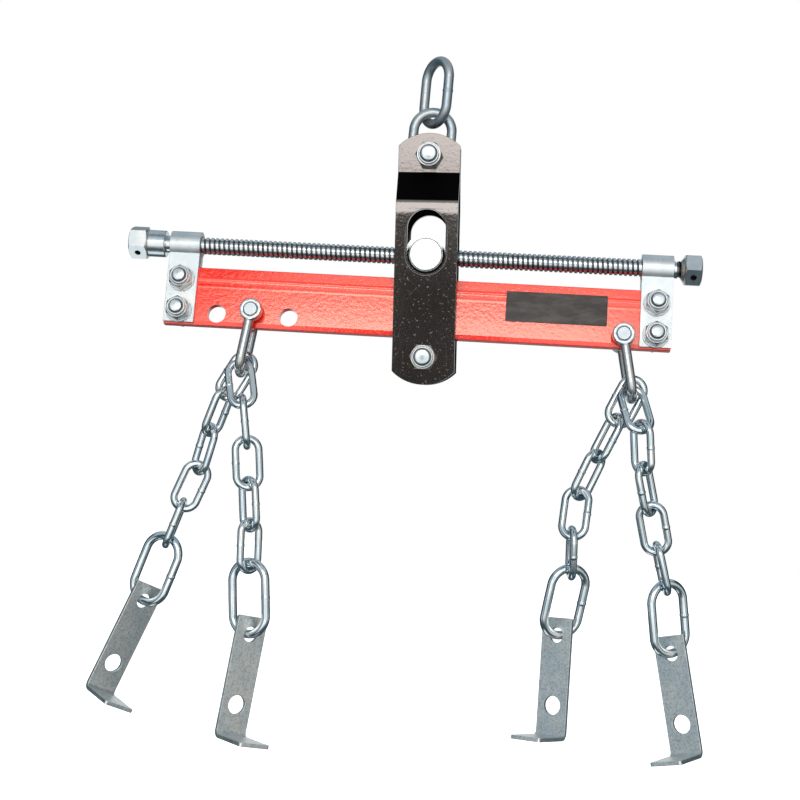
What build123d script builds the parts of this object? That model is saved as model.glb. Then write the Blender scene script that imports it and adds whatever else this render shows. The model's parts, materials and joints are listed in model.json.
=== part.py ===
from build123d import *
import os
from math import cos, radians, sin, sqrt

# Engine load leveler, in millimetres, hanging as it is used and posed as it is photographed.
# Origin at the lifting eye, the middle of the top link's upper bend. +Z up, +X to the right along
# the beam, +Y to the back. Angles are in degrees. A positive lean carries a hanging piece's lower
# end to the left, a positive nod carries it to the front, and a positive roll turns its right-hand
# side to the front. Every piece is placed beside an upright hanger, and the whole then swings about
# the eye by the balance angles, which bring its weight below the eye.

# Balance
balance_back = 4.5
balance_right = 2.5

# Clearances
play = 0.3
running_fit = 0.1
bolt_clearance = 0.25
lift_play = 1.2
bracket_play = 2.4

# Lifting links
lift_bar = 8.0
lift_inside_length = 43.0
lift_inside_width = 23.0
lift_lean = 3.8
lift_roll = 51.0
hanger_link_lean = 4.5

# Hanger plates
plate_width = 50.0
plate_thickness = 5.0
plate_gap_top = 10.4
plate_gap_low = 41.0
plate_bend_radius = 3.0
plate_end_rise = 10.5
plate_top_margin = 18.5
plate_low_margin = 22.0
joggle_low = 41.0
joggle_high = 66.0
top_bolt_rise = 81.0
low_bolt_drop = 82.0
sleeve_diameter = 20.0
spacer_diameter = 16.0

# Trunnion nut and the slot that it sits in
stub_diameter = 30.2
stub_recess = 0.8
boss_diameter = 26.4
boss_proud = 1.5
boss_chamfer = 0.8
nut_body_diameter = 34.4
slot_rise = 21.1

# Screw
screw_diameter = 14.0
thread_pitch = 4.0
thread_depth = 1.9
thread_crest = 1.3
thread_root = 1.2
bush_wall = 0.9
head_across = 24.0
left_head_length = 15.5
right_head_length = 14.0
head_chamfer = 1.6
head_spigot = 10.0
head_cross_hole = 5.0
left_head_turn = 48.0
right_head_turn = 33.0
collar_diameter = 22.0
collar_length = 14.5
collar_chamfer = 0.6
left_neck = 4.5
right_neck = 8.5
neck_cone_length = 2.5

# Beam
beam_tilt = 1.8
beam_swing = 11.5
beam_length = 409.0
beam_left_reach = 211.0
beam_height = 48.5
beam_thickness = 8.0
beam_drop = 19.5
beam_edge_round = 0.8
rib_step = 0.8
rib_top = 9.5
rib_slope = 6.0
hole_rise = 10.4
hole_pitch = 29.5
left_hole_inset = 43.0
right_hole_inset = 38.0
spare_hole_diameter = 15.0
label_length = 81.0
label_height = 25.0
label_thickness = 0.4
label_corner = 1.0
label_right_inset = 51.0
label_below_top = 6.5

# End straps and their bolts
strap_width = 25.0
strap_thickness = 3.0
strap_leg_short = 1.5
strap_bolt_spacing = 26.0
strap_bolt = 10.0
strap_hex = 17.0
strap_washer = 21.0
strap_washer_thickness = 2.0
hanger_bolt = 12.0
hanger_hex = 19.0
head_share = 0.64
nut_share = 0.80
collar_share = 0.30
tip_share = 0.26

# Shackles
shackle_bar = 8.0
shackle_jaw = 16.0
shackle_reach = 54.0
shackle_eye = 17.8
shackle_eye_thickness = 9.0
shackle_pin = 10.6
pin_head = 16.0
pin_head_thickness = 5.0
shackle_leans = {"left": 7.2, "right": -10.7}
left_pin_drop = 55.0
right_pin_drop = 58.6
pin_drops = {"left": left_pin_drop, "right": right_pin_drop}
bow_places = {"front": -22.0, "rear": 20.0}

# Chains
link_wire = 6.0
link_inside_length = 33.0
link_inside_width = 13.0
end_wire = 7.0
end_inside_length = 49.5
end_inside_width = 23.5
bracket_width = 26.5
bracket_thickness = 3.2
bracket_length = 95.5
bracket_foot = 41.0
bracket_bend_radius = 3.0
bracket_corner = 2.0
bracket_link_hole = 12.0
bracket_bolt_hole = 14.6
bracket_hole_inset = 14.0
bracket_hole_spacing = 55.0
left_rear_slack = 7.8
left_rear_shift = -1.7
right_rear_slack = 8.3
right_rear_shift = -2.2

# How each chain lies, from its shackle down: lean, nod and roll of the five links, the end link and
# the bracket. A rear chain's first link rides off its bend on the shackle, by the slack along the
# link and the shift across it.
chains = {
    "left_front": {
        "slack": 0.0,
        "shift": 0.0,
        "links": [
            (-13, 25.5, -8), (-7, 3, 80), (-4.5, 5, -21),
            (-4.5, 4.5, 46.5), (0, 4.5, -53), (-3.5, 6, 22),
        ],
        "bracket": (8.5, 9, -39),
    },
    "left_rear": {
        "slack": left_rear_slack,
        "shift": left_rear_shift,
        "links": [
            (29.5, 9.5, 13.5), (21.5, -6.5, -64.5), (16.5, -4, 49.5),
            (23.5, 1.5, -18), (21, 0, -96), (21, -0.5, 18),
        ],
        "bracket": (23.5, 9, -40),
    },
    "right_front": {
        "slack": 0.0,
        "shift": 0.0,
        "links": [
            (-14.5, 31, -18.5), (-4, -2, 53.5), (-13, -9.5, -58.5),
            (-12.5, -10, 9), (-14, -7.5, 85.5), (-6.5, -5, -30),
        ],
        "bracket": (-9.5, 9, 31),
    },
    "right_rear": {
        "slack": right_rear_slack,
        "shift": right_rear_shift,
        "links": [
            (27, 3.5, -5.5), (26, 3.5, 64), (24.5, 2.5, -49.5),
            (7, 16.5, 16), (0, -13.5, 82.5), (10.5, -8, -26),
        ],
        "bracket": (2.5, 9, 33),
    },
}

# Places worked out from the sizes
strap_bore = screw_diameter / 2 + bush_wall + 2 * running_fit
strap_round = strap_bore + strap_thickness
leg_face = beam_thickness / 2 + strap_thickness
beam_bottom = -beam_drop - beam_height
hole_line = beam_bottom + hole_rise
beam_right_reach = beam_length - beam_left_reach
strap_bolt_line = -beam_drop - beam_height / 2
pin_places = {
    "left": -beam_left_reach + left_hole_inset + hole_pitch,
    "right": beam_right_reach - right_hole_inset,
}
spare_places = [-beam_left_reach + left_hole_inset, -beam_left_reach + left_hole_inset + 2 * hole_pitch]
left_strap_middle = -beam_left_reach + strap_width / 2
right_strap_middle = beam_right_reach - strap_width / 2
bow_radius = (shackle_jaw + shackle_bar) / 2
bow_drop = shackle_reach - bow_radius - shackle_bar / 2


def turned(lean=0, nod=0, roll=0):
    return Rot(0, lean, 0) * Rot(-nod, 0, 0) * Rot(0, 0, -roll)


def downward(turn):
    return (turn * Pos(0, 0, -1)).position


def oval_link(wire, inside_length, inside_width):
    # A link in the XZ plane, centred, its long way along Z
    bend = (inside_width + wire) / 2
    half = (inside_length - inside_width) / 2
    section = Plane.XY * Pos(bend, 0) * Circle(wire / 2)
    leg = extrude(section, half, both=True)
    crown = revolve(Plane.XY * Pos(bend, 0) * Circle(wire / 2), Axis.Y, -180)
    upper = Pos(0, 0, half) * crown
    lower = Pos(0, 0, -half) * Rot(0, 180, 0) * crown
    return leg + Rot(0, 0, 180) * leg + upper + lower


def hung_from(hook, hook_radius, inside_length, turn, slip):
    # Where a link's middle is when its upper bend hangs on a bar through hook
    return hook + downward(turn) * (inside_length / 2 - hook_radius - slip)


def sheet_section(points, thickness, bend_radius):
    # A bent sheet's section: points run along one face, and the sheet lies to their left
    run = [Vector(*p) for p in points]
    ways = [(b - a).normalized() for a, b in zip(run, run[1:])]
    lefts = [Vector(-w.Y, w.X) for w in ways]
    far = [run[0] + lefts[0] * thickness]
    near_radii = []
    far_radii = []
    for n in range(1, len(run) - 1):
        middle = (lefts[n - 1] + lefts[n]).normalized()
        far.append(run[n] + middle * (thickness / middle.dot(lefts[n])))
        to_left = ways[n - 1].cross(ways[n]).Z > 0
        near_radii.append(bend_radius + thickness if to_left else bend_radius)
        far_radii.append(bend_radius if to_left else bend_radius + thickness)
    far.append(run[-1] + lefts[-1] * thickness)
    edges = FilletPolyline(*run, radius=near_radii).edges()
    edges += FilletPolyline(*far, radius=far_radii).edges()
    edges += [Line(run[0], far[0]).edge(), Line(run[-1], far[-1]).edge()]
    return make_face(edges)


def hex_body(across, height, chamfer_length):
    prism = extrude(RegularPolygon(across / 2, 6, major_radius=False), height)
    outer = Cylinder(across / sqrt(3), height, align=(Align.CENTER, Align.CENTER, Align.MIN))
    top = outer.edges().group_by(Axis.Z)[-1]
    return prism & chamfer(top, chamfer_length, chamfer_length * 2)


def bolt(diameter, across, grip, reach):
    # Head under z = 0, shank up to grip plus what the nut and the tip need
    head_height = head_share * diameter
    head = Rot(180, 0, 0) * hex_body(across, head_height, diameter * 0.08)
    shank = Cylinder(diameter / 2, grip + reach, align=(Align.CENTER, Align.CENTER, Align.MIN))
    shank = fillet(shank.edges().group_by(Axis.Z)[-1], diameter * 0.18)
    return head + shank


def lock_nut(diameter, across):
    # A hexagon with the round collar of its locking ring on top
    height = nut_share * diameter
    body = hex_body(across, height, diameter * 0.06)
    ring_height = collar_share * diameter
    ring = Cylinder(across * 0.43, ring_height, align=(Align.CENTER, Align.CENTER, Align.MIN))
    ring = fillet(ring.edges().group_by(Axis.Z)[-1], ring_height * 0.45)
    body += Pos(0, 0, height) * ring
    bore = Cylinder(diameter / 2, height + ring_height, align=(Align.CENTER, Align.CENTER, Align.MIN))
    return body - bore


def nut_stack(diameter):
    return (nut_share + collar_share + tip_share) * diameter


def tube(outer, inner, length):
    return Cylinder(outer, length) - Cylinder(inner, length)


def rod(radius, start, end):
    # A round bar along X
    return Pos((start + end) / 2, 0, 0) * Rot(0, 90, 0) * Cylinder(radius, end - start)


to_front = Rot(90, 0, 0)
parts = {}

# Lifting link, with the eye at the origin, and the link under it on the hanger's top bolt
lift_turn = turned(lift_lean, 0, lift_roll)
lift_half = lift_inside_length / 2
lift_middle = downward(lift_turn) * (lift_half - lift_inside_width / 2)
lift_hook = lift_middle + downward(lift_turn) * (lift_half + lift_bar / 2)
lift_oval = oval_link(lift_bar, lift_inside_length, lift_inside_width)
parts["lifting_link"] = Pos(lift_middle) * lift_turn * lift_oval
hanger_link_turn = turned(hanger_link_lean)
hanger_link_middle = hung_from(lift_hook, lift_bar / 2, lift_inside_length, hanger_link_turn, lift_play)
parts["hanger_link"] = Pos(hanger_link_middle) * hanger_link_turn * lift_oval

# Hanger
sleeve_in_link = lift_half - sleeve_diameter / 2 - play
top_bolt_at = hanger_link_middle + downward(hanger_link_turn) * sleeve_in_link
trunnion_at = top_bolt_at - Vector(0, 0, top_bolt_rise)
low_bolt_at = trunnion_at - Vector(0, 0, low_bolt_drop)
hanger = Pos(trunnion_at)
plate_top = top_bolt_rise + plate_top_margin
plate_low = -low_bolt_drop - plate_low_margin


def plate_outline():
    half = plate_width / 2
    top_shoulder = plate_top - plate_end_rise
    low_shoulder = plate_low + plate_end_rise
    edges = [
        ThreePointArc((-half, top_shoulder), (0, plate_top), (half, top_shoulder)),
        Line((half, top_shoulder), (half, low_shoulder)),
        ThreePointArc((half, low_shoulder), (0, plate_low), (-half, low_shoulder)),
        Line((-half, low_shoulder), (-half, top_shoulder)),
    ]
    return make_face(edges)


def hanger_plate():
    # The rear plate: wide of the beam below, close to the lifting link above
    wide = plate_gap_low / 2
    close = plate_gap_top / 2
    path = [(close, plate_top), (close, joggle_high), (wide, joggle_low), (wide, plate_low)]
    section = sheet_section(path, plate_thickness, plate_bend_radius)
    plate = extrude(Plane.YZ * section, plate_width, both=True)
    plate &= extrude(Plane.XZ * plate_outline(), plate_gap_low + plate_thickness, both=True)
    bolt_hole = hanger_bolt / 2 + bolt_clearance
    for height in (top_bolt_rise, -low_bolt_drop):
        plate -= Pos(0, 0, height) * to_front * Cylinder(bolt_hole, 2 * plate_gap_low)
    slot_width = stub_diameter + 2 * play
    slot = Pos(0, slot_rise / 2) * SlotOverall(slot_rise + slot_width, slot_width, rotation=90)
    plate -= extrude(Plane.XZ * slot, 2 * plate_gap_low, both=True)
    return plate


rear_plate = hanger_plate()
parts["rear_plate"] = hanger * rear_plate
parts["front_plate"] = hanger * Rot(0, 0, 180) * rear_plate
for name, place, gap, outer in (
    ("top", top_bolt_at, plate_gap_top, sleeve_diameter),
    ("low", low_bolt_at, plate_gap_low, spacer_diameter),
):
    across_plates = gap + 2 * plate_thickness
    seat = Pos(place) * to_front
    back = seat * Pos(0, 0, -across_plates / 2)
    parts[f"{name}_bolt"] = back * bolt(hanger_bolt, hanger_hex, across_plates, nut_stack(hanger_bolt))
    parts[f"{name}_nut"] = seat * Pos(0, 0, across_plates / 2) * lock_nut(hanger_bolt, hanger_hex)
    parts[f"{name}_sleeve"] = seat * tube(outer / 2, hanger_bolt / 2 + running_fit, gap)

# Trunnion nut, in the frame that tilts with the beam
tilted = hanger * Rot(0, beam_tilt, 0)
across_hanger = plate_gap_low + 2 * plate_thickness
boss = to_front * Cylinder(boss_diameter / 2, across_hanger + 2 * boss_proud)
boss = chamfer(boss.edges().filter_by(GeomType.CIRCLE), boss_chamfer)
trunnion = boss + to_front * Cylinder(stub_diameter / 2, across_hanger - 2 * stub_recess)
trunnion += to_front * Cylinder(nut_body_diameter / 2, plate_gap_low - 2 * play)
trunnion -= rod(screw_diameter / 2 + play, -nut_body_diameter, nut_body_diameter)
parts["trunnion_nut"] = tilted * trunnion

# Screw with its heads, collar and the bushes that it turns in
left_strap_out = -beam_left_reach
left_strap_in = left_strap_out + strap_width
right_strap_out = beam_right_reach
right_strap_in = right_strap_out - strap_width
collar_in = left_strap_out - left_neck
collar_out = collar_in - collar_length
left_head_out = collar_out - left_head_length
right_head_in = right_strap_out + right_neck
right_head_out = right_head_in + right_head_length
core = screw_diameter / 2 - thread_depth


def threaded(start, end):
    # Thread as even rings, cut between two plain ends
    crest = screw_diameter / 2
    flank = (thread_pitch - thread_crest - thread_root) / 2
    turns = int((end - start) / thread_pitch)
    first = start + ((end - start) - turns * thread_pitch) / 2
    points = [(start, 0), (start, crest)]
    for n in range(turns):
        at = first + n * thread_pitch + thread_crest / 2
        points += [(at, crest), (at + flank, core), (at + flank + thread_root, core)]
        points += [(at + 2 * flank + thread_root, crest)]
    points += [(end, crest), (end, 0)]
    return revolve(make_face(Polyline(*points, close=True)), Axis.X)


screw = threaded(left_strap_in, right_strap_in)
screw += rod(screw_diameter / 2, collar_in, left_strap_in)
screw += rod(screw_diameter / 2, right_strap_in, right_strap_out)
screw += threaded(right_strap_out, right_head_in - neck_cone_length)
screw += rod(head_spigot / 2, left_head_out, collar_in)
screw += rod(head_spigot / 2, right_head_in - neck_cone_length, right_head_out)
cross_hole = Cylinder(head_cross_hole / 2, 2 * head_across)


def screw_head(length, turn):
    # A hexagon along X, chamfered at both ends, drilled through one pair of flats
    blank = hex_body(head_across, length, head_chamfer)
    blank &= Pos(0, 0, length) * Rot(180, 0, 0) * hex_body(head_across, length, head_chamfer)
    blank -= Pos(0, 0, length / 2) * Cylinder(head_spigot / 2, length)
    blank -= Pos(0, 0, length / 2) * Rot(90, 0, 0) * cross_hole
    return Rot(turn, 0, 0) * Rot(0, 90, 0) * blank


left_head = Pos(left_head_out, 0, 0) * screw_head(left_head_length, left_head_turn)
right_head = Pos(right_head_in, 0, 0) * screw_head(right_head_length, right_head_turn)
neck_cone = Cone(screw_diameter / 2, head_across / 2 - head_chamfer, neck_cone_length)
neck_cone -= Cylinder(head_spigot / 2, neck_cone_length)
right_head += Pos(right_head_in - neck_cone_length / 2, 0, 0) * Rot(0, 90, 0) * neck_cone
collar = rod(collar_diameter / 2, collar_out, collar_in)
collar = chamfer(collar.edges().filter_by(GeomType.CIRCLE), collar_chamfer)
collar -= rod(head_spigot / 2, collar_out, collar_in)
for middle, turn in (
    (left_head_out + left_head_length / 2, left_head_turn),
    (right_head_in + right_head_length / 2, right_head_turn),
):
    screw -= Pos(middle, 0, 0) * Rot(turn, 0, 0) * Rot(90, 0, 0) * cross_hole
parts["screw_rod"] = tilted * screw
parts["left_hex_head"] = tilted * left_head
parts["right_hex_head"] = tilted * right_head
parts["left_collar"] = tilted * collar
bush = tube(screw_diameter / 2 + running_fit + bush_wall, screw_diameter / 2 + running_fit, strap_width)
bush = Rot(0, 90, 0) * bush
parts["left_bush"] = tilted * Pos(left_strap_middle, 0, 0) * bush
parts["right_bush"] = tilted * Pos(right_strap_middle, 0, 0) * bush

# Beam, swung about the screw's axis, with its label plate
swung = tilted * Rot(-beam_swing, 0, 0)
front = -beam_thickness / 2
section_points = [
    (front + rib_step, -beam_drop),
    (front + rib_step, -beam_drop - rib_top),
    (front, -beam_drop - rib_top - rib_slope),
    (front, beam_bottom),
    (-front, beam_bottom),
    (-front, -beam_drop),
]
beam_section = make_face(Polyline(*section_points, close=True))
beam_section = fillet(beam_section.vertices().group_by(Axis.Y)[0], beam_edge_round)
beam_section = fillet(beam_section.vertices().group_by(Axis.Y)[-1], beam_edge_round)
beam = extrude(Plane.YZ * beam_section, beam_length)
beam = Pos(-beam_left_reach, 0, 0) * beam


def across_beam(radius, x, z):
    return Pos(x, 0, z) * to_front * Cylinder(radius, 4 * leg_face)


strap_bolt_places = [
    (x, strap_bolt_line + side * strap_bolt_spacing / 2)
    for x in (left_strap_middle, right_strap_middle)
    for side in (1, -1)
]
for x in spare_places:
    beam -= across_beam(spare_hole_diameter / 2, x, hole_line)
for side, x in pin_places.items():
    beam -= across_beam(shackle_pin / 2 + play, x, -pin_drops[side])
for x, z in strap_bolt_places:
    beam -= across_beam(strap_bolt / 2 + bolt_clearance, x, z)
parts["beam"] = swung * beam
label = extrude(RectangleRounded(label_length, label_height, label_corner), label_thickness)
label_middle_z = -beam_drop - label_below_top - label_height / 2
label_middle_x = beam_right_reach - label_right_inset - label_length / 2
parts["label_plate"] = swung * Pos(label_middle_x, front, label_middle_z) * to_front * label

# End straps: round the bush, then down both faces of the beam
leg_low = beam_bottom + strap_leg_short
leg = Pos(0, leg_low / 2) * Rectangle(2 * leg_face, -leg_low)
strap_section = Circle(strap_round) + leg - Circle(strap_bore)
strap_section -= Pos(0, leg_low / 2) * Rectangle(beam_thickness, -leg_low)
strap = Pos(-strap_width / 2, 0, 0) * extrude(Plane.YZ * strap_section, strap_width)
for z in (strap_bolt_line + strap_bolt_spacing / 2, strap_bolt_line - strap_bolt_spacing / 2):
    strap -= across_beam(strap_bolt / 2 + bolt_clearance, 0, z)
parts["left_strap"] = swung * Pos(left_strap_middle, 0, 0) * strap
parts["right_strap"] = swung * Pos(right_strap_middle, 0, 0) * strap
strap_reach = strap_washer_thickness + nut_stack(strap_bolt)
strap_bolt_solid = bolt(strap_bolt, strap_hex, 2 * leg_face, strap_reach)
washer = tube(strap_washer / 2, strap_bolt / 2 + bolt_clearance, strap_washer_thickness)
bolts = []
nuts = []
washers = []
for x, z in strap_bolt_places:
    seat = swung * Pos(x, 0, z) * to_front
    bolts.append(seat * Pos(0, 0, -leg_face) * strap_bolt_solid)
    washers.append(seat * Pos(0, 0, leg_face + strap_washer_thickness / 2) * washer)
    nuts.append(seat * Pos(0, 0, leg_face + strap_washer_thickness) * lock_nut(strap_bolt, strap_hex))
parts["strap_bolts"] = Compound(bolts)
parts["strap_nuts"] = Compound(nuts)
parts["strap_washers"] = Compound(washers)


# Shackles
def shackle_bow():
    # Eyes on the Y axis, the bow hanging below
    path = Line((0, -bow_radius, 0), (0, -bow_radius, -bow_drop))
    path += ThreePointArc(
        (0, -bow_radius, -bow_drop), (0, 0, -bow_drop - bow_radius), (0, bow_radius, -bow_drop)
    )
    path += Line((0, bow_radius, -bow_drop), (0, bow_radius, 0))
    bow = sweep(Pos(0, -bow_radius, 0) * Circle(shackle_bar / 2), path)
    for side in (1, -1):
        bow += Pos(0, side * bow_radius, 0) * to_front * Cylinder(shackle_eye / 2, shackle_eye_thickness)
    return bow - to_front * Cylinder(shackle_pin / 2 + running_fit, 2 * shackle_jaw + 2 * shackle_bar)


def shackle_pin_solid():
    # The front end flush with its eye, a round head behind the rear eye
    half = bow_radius + shackle_eye_thickness / 2
    shank = Cylinder(shackle_pin / 2, 2 * half)
    shank = chamfer(shank.edges().group_by(Axis.Z)[-1], play)
    head = Cylinder(pin_head / 2, pin_head_thickness)
    head = chamfer(head.edges().filter_by(GeomType.CIRCLE), play)
    return to_front * (shank + Pos(0, 0, -half - pin_head_thickness / 2) * head)


bow_solid = shackle_bow()
pin_solid = shackle_pin_solid()
shackles = {}
for side, lean in shackle_leans.items():
    shackles[side] = swung * Pos(pin_places[side], 0, -pin_drops[side]) * Rot(0, lean, 0)
    parts[f"{side}_shackle_bow"] = shackles[side] * bow_solid
    parts[f"{side}_shackle_pin"] = shackles[side] * pin_solid


# Chains
def bracket_solid():
    # A flat bar hung by its upper hole at the origin, with its foot bent to the front
    top = bracket_hole_inset
    low = bracket_hole_inset - bracket_length
    half = bracket_thickness / 2
    path = [(-bracket_foot + half, low), (half, low), (half, top)]
    section = sheet_section(path, bracket_thickness, bracket_bend_radius)
    bar = extrude(Plane.YZ * section, bracket_width / 2, both=True)
    upright = bar.edges().filter_by(Axis.Y).group_by(Axis.Z)[-1]
    bar = fillet(upright, bracket_corner)
    tips = bar.edges().filter_by(Axis.Z).group_by(Axis.Y)[0]
    bar = fillet(tips, bracket_corner)
    bar -= to_front * Cylinder(bracket_link_hole / 2, bracket_foot)
    bar -= Pos(0, 0, -bracket_hole_spacing) * to_front * Cylinder(bracket_bolt_hole / 2, bracket_foot)
    return bar


small_link = oval_link(link_wire, link_inside_length, link_inside_width)
end_link = oval_link(end_wire, end_inside_length, end_inside_width)
bracket = bracket_solid()
hooks = {}
for name, lie in chains.items():
    side, row = name.split("_")
    around = Rot(bow_places[row], 0, 0)
    along = shackles[side] * Pos(0, 0, -bow_drop) * around
    hook = (along * Pos(0, 0, -bow_radius)).position
    hook_radius = shackle_bar / 2
    slip = play + lie["slack"]
    shift = lie["shift"]
    pieces = [(f"{name}_link_{n}", small_link, link_wire, link_inside_length) for n in range(1, 6)]
    pieces.append((f"{name}_end_link", end_link, end_wire, end_inside_length))
    for (node, solid, wire, inside), pose in zip(pieces, lie["links"]):
        turn = turned(*pose)
        middle = hung_from(hook, hook_radius, inside, turn, slip) + (turn * Pos(shift, 0, 0)).position
        parts[node] = Pos(middle) * turn * solid
        hooks[node] = (hook, along)
        hook = middle + downward(turn) * (inside + wire) / 2
        along = turn
        hook_radius = wire / 2
        slip = play
        shift = 0
    turn = turned(*lie["bracket"])
    middle = hung_from(hook, hook_radius, bracket_link_hole, turn, bracket_play)
    parts[f"{name}_bracket"] = Pos(middle) * turn * bracket
    hooks[f"{name}_bracket"] = (hook, along)

# The whole part, hanging in balance
balanced = turned(-balance_right, -balance_back)
os.makedirs("parts", exist_ok=True)
for node, solid in parts.items():
    export_step(balanced * solid, f"parts/{node}.step")
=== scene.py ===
import bpy
import json
import math
from mathutils import Matrix, Vector

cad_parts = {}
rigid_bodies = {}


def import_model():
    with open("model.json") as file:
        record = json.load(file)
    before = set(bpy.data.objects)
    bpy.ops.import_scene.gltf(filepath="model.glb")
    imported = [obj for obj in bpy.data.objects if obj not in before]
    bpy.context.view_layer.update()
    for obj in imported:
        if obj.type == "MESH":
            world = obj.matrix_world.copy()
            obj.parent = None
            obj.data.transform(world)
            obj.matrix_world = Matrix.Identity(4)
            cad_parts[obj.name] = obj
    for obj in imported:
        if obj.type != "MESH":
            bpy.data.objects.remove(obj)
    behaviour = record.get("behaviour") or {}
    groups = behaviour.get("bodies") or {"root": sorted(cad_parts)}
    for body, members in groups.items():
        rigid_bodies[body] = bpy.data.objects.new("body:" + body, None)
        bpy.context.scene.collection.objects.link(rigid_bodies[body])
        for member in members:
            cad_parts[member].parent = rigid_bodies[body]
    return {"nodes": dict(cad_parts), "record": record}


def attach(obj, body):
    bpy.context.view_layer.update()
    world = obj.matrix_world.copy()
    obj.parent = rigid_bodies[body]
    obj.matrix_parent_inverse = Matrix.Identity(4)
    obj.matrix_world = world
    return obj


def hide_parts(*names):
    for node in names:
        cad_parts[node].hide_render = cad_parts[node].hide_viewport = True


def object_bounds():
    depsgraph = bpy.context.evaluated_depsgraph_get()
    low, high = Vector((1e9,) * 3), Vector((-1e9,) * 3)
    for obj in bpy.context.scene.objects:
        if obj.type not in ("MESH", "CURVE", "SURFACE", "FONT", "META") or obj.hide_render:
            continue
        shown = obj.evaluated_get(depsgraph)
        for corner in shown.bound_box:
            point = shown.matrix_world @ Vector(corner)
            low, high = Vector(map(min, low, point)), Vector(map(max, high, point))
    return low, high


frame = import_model()
cadBox = [list(corner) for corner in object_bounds()]
record = frame["record"]
bodies = record["behaviour"]["bodies"]
joints = {joint["child"]: joint for joint in record["behaviour"]["joints"]}
bodyOf = {node: body for body, nodes in bodies.items() for node in nodes}
scene = bpy.context.scene
print("frame loaded:", len(frame["nodes"]), "nodes")


# Axes of the beam and the hanger, worked out from their joints
alongBeam = Vector(joints["beam"]["axis"]).normalized()
backOfBeam = Vector(joints["left_shackle"]["axis"]).normalized()
upBeam = alongBeam.cross(backOfBeam).normalized()
trunnionAt = Vector(joints["trunnion"]["pos_m"])
backOfHanger = Vector(joints["trunnion"]["axis"]).normalized()
upHanger = (Vector(joints["hanger"]["pos_m"]) - trunnionAt).normalized()


def axesMatrix(xAxis, yAxis, zAxis, origin):
    turn = Matrix((xAxis, yAxis, zAxis)).transposed()
    return Matrix.Translation(origin) @ turn.to_4x4()


beamPlace = axesMatrix(alongBeam, backOfBeam, upBeam, trunnionAt)
screwPlace = axesMatrix(alongBeam, backOfHanger, alongBeam.cross(backOfHanger), trunnionAt)
hangerPlace = axesMatrix(backOfHanger.cross(upHanger), backOfHanger, upHanger, trunnionAt)


# Object handling
hair = 0.00001                   # metres, for telling two places apart
cleaning = {"mergeWithin": 0.000005, "flatTo": 0.4}      # metres, degrees
roundBar = 60                    # degrees that still smooth on round bars


def onlySelect(piece):
    bpy.ops.object.select_all(action="DESELECT")
    piece.select_set(True)
    bpy.context.view_layer.objects.active = piece


def editing(piece, mode="VERT"):
    onlySelect(piece)
    bpy.ops.object.mode_set(mode="EDIT")
    bpy.ops.mesh.select_mode(type=mode)
    bpy.ops.mesh.select_all(action="SELECT")


def doneEditing():
    bpy.ops.object.mode_set(mode="OBJECT")


def pick(piece, kind, rule):
    # only the vertices, edges or polygons that the rule allows; edit mode stays on
    editing(piece, {"vertices": "VERT", "edges": "EDGE", "polygons": "FACE"}[kind])
    bpy.ops.mesh.select_all(action="DESELECT")
    doneEditing()
    for item in getattr(piece.data, kind):
        item.select = rule(item)
    bpy.ops.object.mode_set(mode="EDIT")


def cutAcross(piece, at, way):
    editing(piece)
    bpy.ops.mesh.bisect(plane_co=at, plane_no=way)
    doneEditing()


def shift(piece, way):
    editing(piece)
    bpy.ops.transform.translate(value=way)
    doneEditing()


def settle(piece):
    # modifiers first, then the place into the mesh
    onlySelect(piece)
    for modifier in list(piece.modifiers):
        bpy.ops.object.modifier_apply(modifier=modifier.name)
    bpy.ops.object.transform_apply(location=True, rotation=True, scale=True)


def smooth(piece, angle):
    onlySelect(piece)
    bpy.ops.object.shade_smooth_by_angle(angle=math.radians(angle))


def putAt(piece, place):
    piece.matrix_world = place @ piece.matrix_world
    settle(piece)


def dress(piece, finish):
    piece.data.materials.clear()
    piece.data.materials.append(finish)


def joined(pieces, name):
    onlySelect(pieces[0])
    for piece in pieces:
        piece.select_set(True)
    bpy.ops.object.join()
    pieces[0].name = name
    return pieces[0]


def copyNode(node, name):
    # a CAD node's triangles, merged and with its flat faces whole again
    source = frame["nodes"][node]
    piece = source.copy()
    piece.data = source.data.copy()
    piece.parent = None
    piece.name = name
    for key in list(piece.keys()):
        del piece[key]
    scene.collection.objects.link(piece)
    onlySelect(piece)
    bpy.ops.mesh.customdata_custom_splitnormals_clear()
    editing(piece)
    bpy.ops.mesh.remove_doubles(threshold=cleaning["mergeWithin"])
    bpy.ops.mesh.dissolve_limited(angle_limit=math.radians(cleaning["flatTo"]))
    doneEditing()
    return piece


def standFor(piece, node, finish):
    dress(piece, finish)
    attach(piece, bodyOf[node])
    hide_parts(node)


def addTo(piece, node, finish):
    dress(piece, finish)
    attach(piece, bodyOf[node])


def cornersOf(points):
    low = Vector([min(p[n] for p in points) for n in range(3)])
    high = Vector([max(p[n] for p in points) for n in range(3)])
    return low, high


def spanIn(node, place):
    # lowest and highest corner of a node, measured along another frame's axes
    back = place.inverted()
    return cornersOf([back @ v.co for v in frame["nodes"][node].data.vertices])


# Shader maths
class Wire:
    def __init__(self, shop, socket):
        self.shop = shop
        self.socket = socket

    def maths(self, operation, first, second):
        return self.shop.node("ShaderNodeMath", {"operation": operation}, {0: first, 1: second})

    def __add__(self, other):
        return self.maths("ADD", self, other)

    def __radd__(self, other):
        return self.maths("ADD", other, self)

    def __sub__(self, other):
        return self.maths("SUBTRACT", self, other)

    def __rsub__(self, other):
        return self.maths("SUBTRACT", other, self)

    def __mul__(self, other):
        return self.maths("MULTIPLY", self, other)

    def __rmul__(self, other):
        return self.maths("MULTIPLY", other, self)

    def __pow__(self, other):
        return self.maths("POWER", self, other)


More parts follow.
